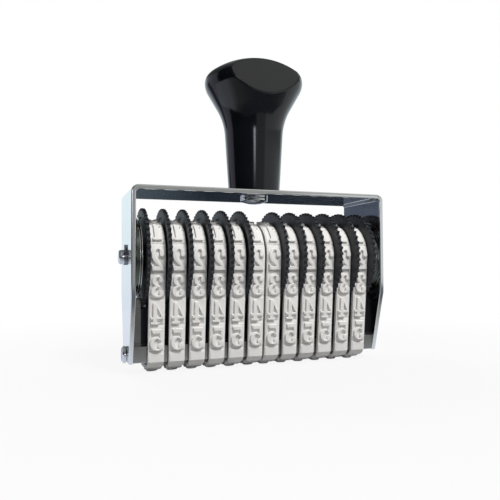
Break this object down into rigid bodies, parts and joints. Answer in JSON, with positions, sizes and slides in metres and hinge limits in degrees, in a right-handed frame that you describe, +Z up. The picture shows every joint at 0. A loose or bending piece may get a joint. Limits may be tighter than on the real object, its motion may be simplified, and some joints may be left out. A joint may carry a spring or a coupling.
{
  "type": "numbering machine",
  "caption": "Hand stamp with rubber number bands on toothed wheels, held in a bent steel frame over a platen bar, with a knob handle on top.",
  "frame": {"origin": "middle of the printing face, at the bottom of the object", "axes": "+X along the row of bands, to the right as seen from the front; +Y to the back; +Z up, from the printing face to the handle"},
  "size_m": [0.0748, 0.0266, 0.0848],
  "materials": {
    "frame_plated": "bright nickel plate",
    "handle_plastic": "glossy black moulding",
    "screw_plated": "bright plate",
    "axle_steel": "turned steel",
    "clip_steel": "oiled spring steel",
    "washer_steel": "spring steel",
    "spacer_steel": "turned steel",
    "platen_plated": "satin nickel plate",
    "cushion_rubber": "matt black rubber",
    "wheel_plastic": "satin black moulding",
    "band_rubber": "pale moulded rubber"
  },
  "bodies": {
    "stamp": {"frame": "frame_plated", "handle": "handle_plastic", "handle_screw": "screw_plated", "axle": "axle_steel", "retaining_clip_left": "clip_steel", "retaining_clip_right": "clip_steel", "spring_washer_left": "washer_steel", "spring_washer_right": "washer_steel", "end_spacer_left": "spacer_steel", "end_spacer_right": "spacer_steel", "platen_bar": "platen_plated", "platen_cushion": "cushion_rubber", "platen_screw_left": "screw_plated", "platen_screw_right": "screw_plated", "number_band_01": "band_rubber", "number_band_02": "band_rubber", "number_band_03": "band_rubber", "number_band_04": "band_rubber", "number_band_05": "band_rubber", "number_band_06": "band_rubber", "number_band_07": "band_rubber", "number_band_08": "band_rubber", "number_band_09": "band_rubber", "number_band_10": "band_rubber", "number_band_11": "band_rubber", "number_band_12": "band_rubber"},
    "wheel_01": {"band_wheel_01": "wheel_plastic"},
    "wheel_02": {"band_wheel_02": "wheel_plastic"},
    "wheel_03": {"band_wheel_03": "wheel_plastic"},
    "wheel_04": {"band_wheel_04": "wheel_plastic"},
    "wheel_05": {"band_wheel_05": "wheel_plastic"},
    "wheel_06": {"band_wheel_06": "wheel_plastic"},
    "wheel_07": {"band_wheel_07": "wheel_plastic"},
    "wheel_08": {"band_wheel_08": "wheel_plastic"},
    "wheel_09": {"band_wheel_09": "wheel_plastic"},
    "wheel_10": {"band_wheel_10": "wheel_plastic"},
    "wheel_11": {"band_wheel_11": "wheel_plastic"},
    "wheel_12": {"band_wheel_12": "wheel_plastic"}
  },
  "joints": [
    {"name": "wheel_01_spin", "type": "hinge", "parent": "stamp", "child": "wheel_01", "pos_m": [-0.02885, 0, 0.0296], "axis": [1, 0, 0], "continuous": true},
    {"name": "wheel_02_spin", "type": "hinge", "parent": "stamp", "child": "wheel_02", "pos_m": [-0.02355, 0, 0.0296], "axis": [1, 0, 0], "continuous": true},
    {"name": "wheel_03_spin", "type": "hinge", "parent": "stamp", "child": "wheel_03", "pos_m": [-0.01825, 0, 0.0296], "axis": [1, 0, 0], "continuous": true},
    {"name": "wheel_04_spin", "type": "hinge", "parent": "stamp", "child": "wheel_04", "pos_m": [-0.01295, 0, 0.0296], "axis": [1, 0, 0], "continuous": true},
    {"name": "wheel_05_spin", "type": "hinge", "parent": "stamp", "child": "wheel_05", "pos_m": [-0.00765, 0, 0.0296], "axis": [1, 0, 0], "continuous": true},
    {"name": "wheel_06_spin", "type": "hinge", "parent": "stamp", "child": "wheel_06", "pos_m": [-0.00235, 0, 0.0296], "axis": [1, 0, 0], "continuous": true},
    {"name": "wheel_07_spin", "type": "hinge", "parent": "stamp", "child": "wheel_07", "pos_m": [0.00235, 0, 0.0296], "axis": [1, 0, 0], "continuous": true},
    {"name": "wheel_08_spin", "type": "hinge", "parent": "stamp", "child": "wheel_08", "pos_m": [0.00765, 0, 0.0296], "axis": [1, 0, 0], "continuous": true},
    {"name": "wheel_09_spin", "type": "hinge", "parent": "stamp", "child": "wheel_09", "pos_m": [0.01295, 0, 0.0296], "axis": [1, 0, 0], "continuous": true},
    {"name": "wheel_10_spin", "type": "hinge", "parent": "stamp", "child": "wheel_10", "pos_m": [0.01825, 0, 0.0296], "axis": [1, 0, 0], "continuous": true},
    {"name": "wheel_11_spin", "type": "hinge", "parent": "stamp", "child": "wheel_11", "pos_m": [0.02355, 0, 0.0296], "axis": [1, 0, 0], "continuous": true},
    {"name": "wheel_12_spin", "type": "hinge", "parent": "stamp", "child": "wheel_12", "pos_m": [0.02885, 0, 0.0296], "axis": [1, 0, 0], "continuous": true}
  ]
}
